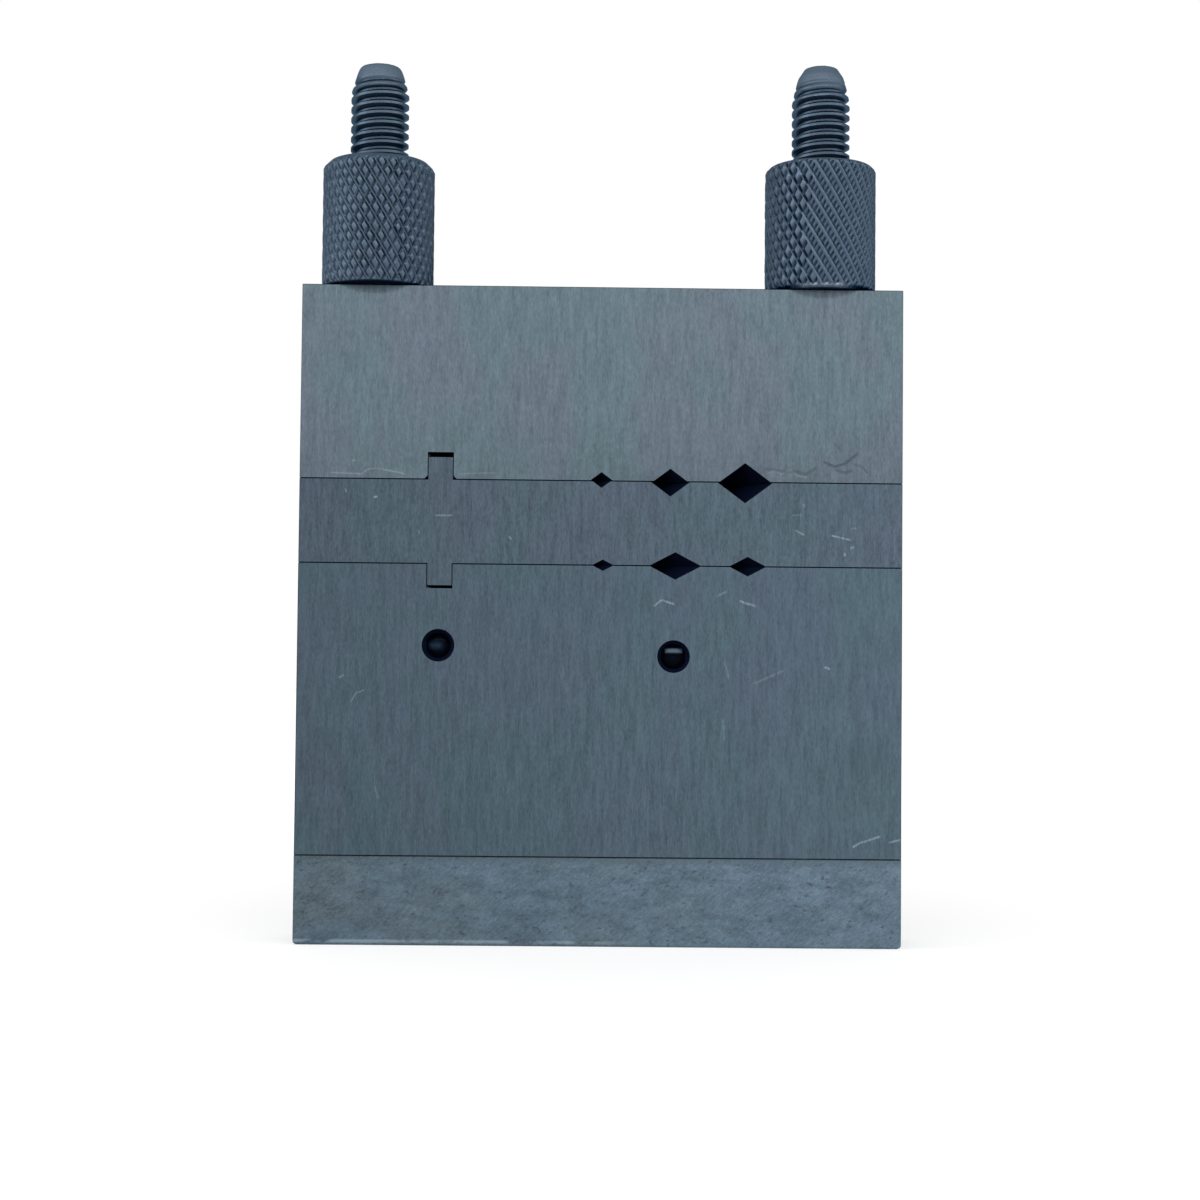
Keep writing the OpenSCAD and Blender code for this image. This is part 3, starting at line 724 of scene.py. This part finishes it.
def close_ends(mesh):
    """Joins points that lie on each other and closes the two ends."""
    work = bmesh.new()
    work.from_mesh(mesh)
    bmesh.ops.remove_doubles(work, verts=work.verts, dist=JOIN_WITHIN)
    bmesh.ops.holes_fill(work, edges=[e for e in work.edges if e.is_boundary])
    bmesh.ops.recalc_face_normals(work, faces=work.faces)
    work.to_mesh(mesh)
    work.free()


def make_camera():
    """The camera of the photograph."""
    data = bpy.data.cameras.new("photo_camera")
    data.lens = LENS
    data.sensor_width = SENSOR
    data.clip_start = 0.01
    camera = bpy.data.objects.new("photo_camera", data)
    turn = (Matrix.Rotation(-CAMERA_RIGHT, 4, "Z") @ Matrix.Rotation(math.pi / 2 + CAMERA_UP, 4, "X")
            @ Matrix.Rotation(CAMERA_ROLL, 4, "Z"))
    camera.matrix_world = Matrix.Translation(CAMERA_AT) @ turn
    bpy.context.scene.collection.objects.link(camera)
    bpy.context.scene.camera = camera


def seen_directly(tree):
    """1 for rays from the camera, mirrors and glass, and 0 for the light that falls on the object."""
    path = add(tree, "LightPath", {}).outputs
    direct = maths(tree, "MAXIMUM", path["Is Camera Ray"], path["Is Glossy Ray"])
    return maths(tree, "MAXIMUM", direct, path["Is Transmission Ray"])


def make_world():
    """White where it is seen, and a softer fill light."""
    world = bpy.data.worlds.new("studio")
    world.use_nodes = True
    tree = world.node_tree
    background = tree.nodes["Background"]
    background.inputs["Color"].default_value = (1.0, 1.0, 1.0, 1.0)
    strength = spread(tree, seen_directly(tree), 0.0, 1.0, FILL_LIGHT, 1.0)
    tree.links.new(strength, background.inputs["Strength"])
    bpy.context.scene.world = world


def make_floor():
    """Plain pale floor that keeps the object's soft shadow and turns white further out."""
    corners = [(FLOOR_HALF * x, FLOOR_HALF * y, 0) for x, y in ((-1, -1), (1, -1), (1, 1), (-1, 1))]
    mesh = bpy.data.meshes.new("floor")
    mesh.from_pydata(corners, [], [(0, 1, 2, 3)])
    floor = bpy.data.objects.new("floor", mesh)
    bpy.context.scene.collection.objects.link(floor)
    material, tree, shader = new_material("floor_paper")
    place = add(tree, "TexCoord", {}).outputs["Object"]
    fibre = grain(tree, place, FLOOR_FIBRE)
    tree.links.new(mixed(tree, fibre, FLOOR_DARK, FLOOR_LIGHT), shader.inputs["Base Color"])
    shader.inputs["Roughness"].default_value = 0.9
    shader.inputs["Specular IOR Level"].default_value = 0.0
    shader.inputs["Emission Color"].default_value = (1.0, 1.0, 1.0, 1.0)
    away = add(tree, "VectorMath", {0: place}, operation="LENGTH").outputs["Value"]
    glow = spread(tree, away, GLOW_FROM, GLOW_TO, GLOW_NEAR, GLOW_FAR)
    tree.links.new(product(tree, seen_directly(tree), glow), shader.inputs["Emission Strength"])
    paint(floor, material)


def make_lamp(name, place, size_x, size_y, radiance):
    """Soft rectangular lamp, turned to the middle of the object. Radiance is how bright its face is."""
    data = bpy.data.lights.new(name, "AREA")
    data.shape = "RECTANGLE"
    data.size = size_x
    data.size_y = size_y
    data.energy = radiance * math.pi * size_x * size_y
    lamp = bpy.data.objects.new(name, data)
    lamp.location = place
    lamp.rotation_euler = (LAMP_TARGET - Vector(place)).to_track_quat("-Z", "Y").to_euler()
    bpy.context.scene.collection.objects.link(lamp)


bpy.context.scene.view_settings.view_transform = "Standard"
make_camera()
make_world()
make_floor()
for lamp in LAMPS:
    make_lamp(*lamp)

left_pin_x, left_pin_z = pin_place("dowel_left")
right_pin_x, right_pin_z = pin_place("dowel_right")
top_steel = ground_steel("top_steel", TOP_COLOUR, TOP_SIDE_SHADING, TOP_CONTRAST, JAW_UPRIGHT_SHADE, 0.0, TOP_SCRATCHES,
                         smudged=True)
middle_steel = ground_steel("middle_steel", MIDDLE_COLOUR, MIDDLE_SIDE_SHADING, MIDDLE_CONTRAST, JAW_UPRIGHT_SHADE,
                            NOISE_SHIFT, MIDDLE_SCRATCHES)
base_steel = ground_steel("base_steel", BASE_COLOUR, BASE_SIDE_SHADING, BASE_CONTRAST, BASE_UPRIGHT_SHADE,
                          2 * NOISE_SHIFT, BASE_SCRATCHES)
foot_steel = mill_steel("foot_steel", FOOT_COLOUR, FOOT_SIDE_SHADING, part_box("foot_bar")[1].z)
nut_steel = dark_steel("nut_steel", NUT_LIGHT, NUT_DARK, roughness=0.36, wear=0.28, dull=0.0)
stud_steel = dark_steel("stud_steel", STUD_LIGHT, STUD_DARK, roughness=0.28, wear=0.08, dull=0.28)
# Painted highlights on the pins, one bar each, for a lamp's reflection
left_pin_highlight = (LEFT_PIN_HIGHLIGHT, (left_pin_x - 0.3, left_pin_z), 1.2, 0.45, 0.3)
right_pin_highlight = (RIGHT_PIN_HIGHLIGHT, (right_pin_x + 0.05, right_pin_z + 0.6), 1.7, 0.4, 0.1)
left_pin_steel = black_steel("left_pin_steel", LEFT_PIN_COLOUR, PIN_ROUGH, PIN_SPECULAR, left_pin_highlight)
right_pin_steel = black_steel("right_pin_steel", RIGHT_PIN_COLOUR, PIN_ROUGH, PIN_SPECULAR, right_pin_highlight)
screw_steel = black_steel("screw_steel", SCREW_COLOUR, roughness=0.35, specular=0.5)

for node, material in (("top_jaw", top_steel), ("middle_jaw", middle_steel), ("base_jaw", base_steel),
                       ("foot_bar", foot_steel), ("dowel_left", left_pin_steel),
                       ("dowel_right", right_pin_steel), ("foot_screw_left", screw_steel),
                       ("foot_screw_right", screw_steel)):
    paint(nodes[node], material)

for side in ("left", "right"):
    nut = knurled_nut(side)
    paint(nut, nut_steel)
    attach(nut, side + "_nut")
    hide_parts("nut_" + side)
    stud = threaded_stud(side)
    paint(stud, stud_steel)
    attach(stud, "base")
    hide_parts("stud_" + side)
